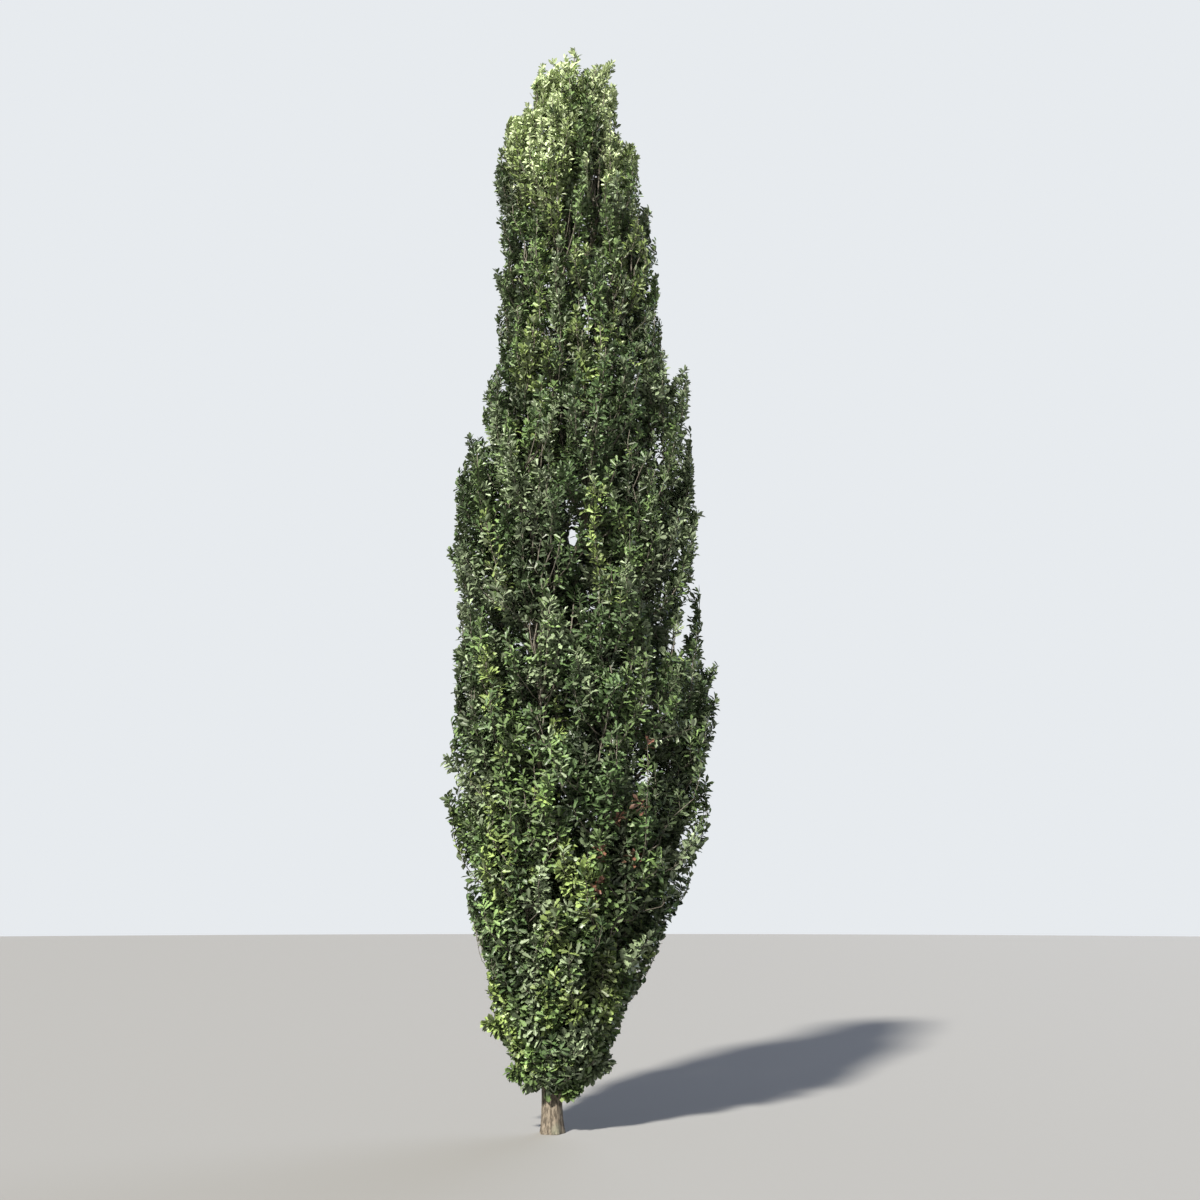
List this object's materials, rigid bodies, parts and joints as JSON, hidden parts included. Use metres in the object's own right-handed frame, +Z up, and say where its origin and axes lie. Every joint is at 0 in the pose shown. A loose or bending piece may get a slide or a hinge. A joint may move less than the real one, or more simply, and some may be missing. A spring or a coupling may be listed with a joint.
{
  "type": "columnar oak tree",
  "caption": "Columnar oak: a narrow upright tree with a short clear trunk, steep boughs and a dense column of leafy foliage, rooted in the ground.",
  "frame": {"origin": "middle of the flat cut under the trunk, at ground level", "axes": "+Z up along the trunk, +X towards the fuller side of the crown, -Y towards the front that the picture shows"},
  "size_m": [2.3216, 2.2597, 9.6876],
  "materials": {
    "bark": "rough grey-brown bark, finely furrowed lengthways",
    "foliage": "leathery dark green lobed leaves with a dull gloss on the upper side"
  },
  "bodies": {
    "root": {"trunk": "bark", "bough_belly_1": "bark", "bough_belly_2": "bark", "bough_belly_3": "bark", "bough_belly_4": "bark", "bough_belly_5": "bark", "bough_neck_1": "bark", "bough_neck_2": "bark", "bough_neck_3": "bark", "bough_neck_4": "bark", "bough_neck_5": "bark", "bough_shoulder_1": "bark", "bough_shoulder_2": "bark", "bough_shoulder_3": "bark", "bough_shoulder_4": "bark", "bough_shoulder_5": "bark", "bough_skirt_1": "bark", "bough_skirt_2": "bark", "bough_skirt_3": "bark", "bough_skirt_4": "bark", "bough_skirt_5": "bark", "bough_top_1": "bark", "bough_top_2": "bark", "bough_top_3": "bark", "bough_waist_1": "bark", "bough_waist_2": "bark", "bough_waist_3": "bark", "bough_waist_4": "bark", "bough_waist_5": "bark", "foliage_belly_1": "foliage", "foliage_belly_2": "foliage", "foliage_belly_3": "foliage", "foliage_belly_4": "foliage", "foliage_belly_5": "foliage", "foliage_leader": "foliage", "foliage_neck_1": "foliage", "foliage_neck_2": "foliage", "foliage_neck_3": "foliage", "foliage_neck_4": "foliage", "foliage_neck_5": "foliage", "foliage_shoulder_1": "foliage", "foliage_shoulder_2": "foliage", "foliage_shoulder_3": "foliage", "foliage_shoulder_4": "foliage", "foliage_shoulder_5": "foliage", "foliage_skirt_1": "foliage", "foliage_skirt_2": "foliage", "foliage_skirt_3": "foliage", "foliage_skirt_4": "foliage", "foliage_skirt_5": "foliage", "foliage_top_1": "foliage", "foliage_top_2": "foliage", "foliage_top_3": "foliage", "foliage_waist_1": "foliage", "foliage_waist_2": "foliage", "foliage_waist_3": "foliage", "foliage_waist_4": "foliage", "foliage_waist_5": "foliage"}
  },
  "joints": []
}
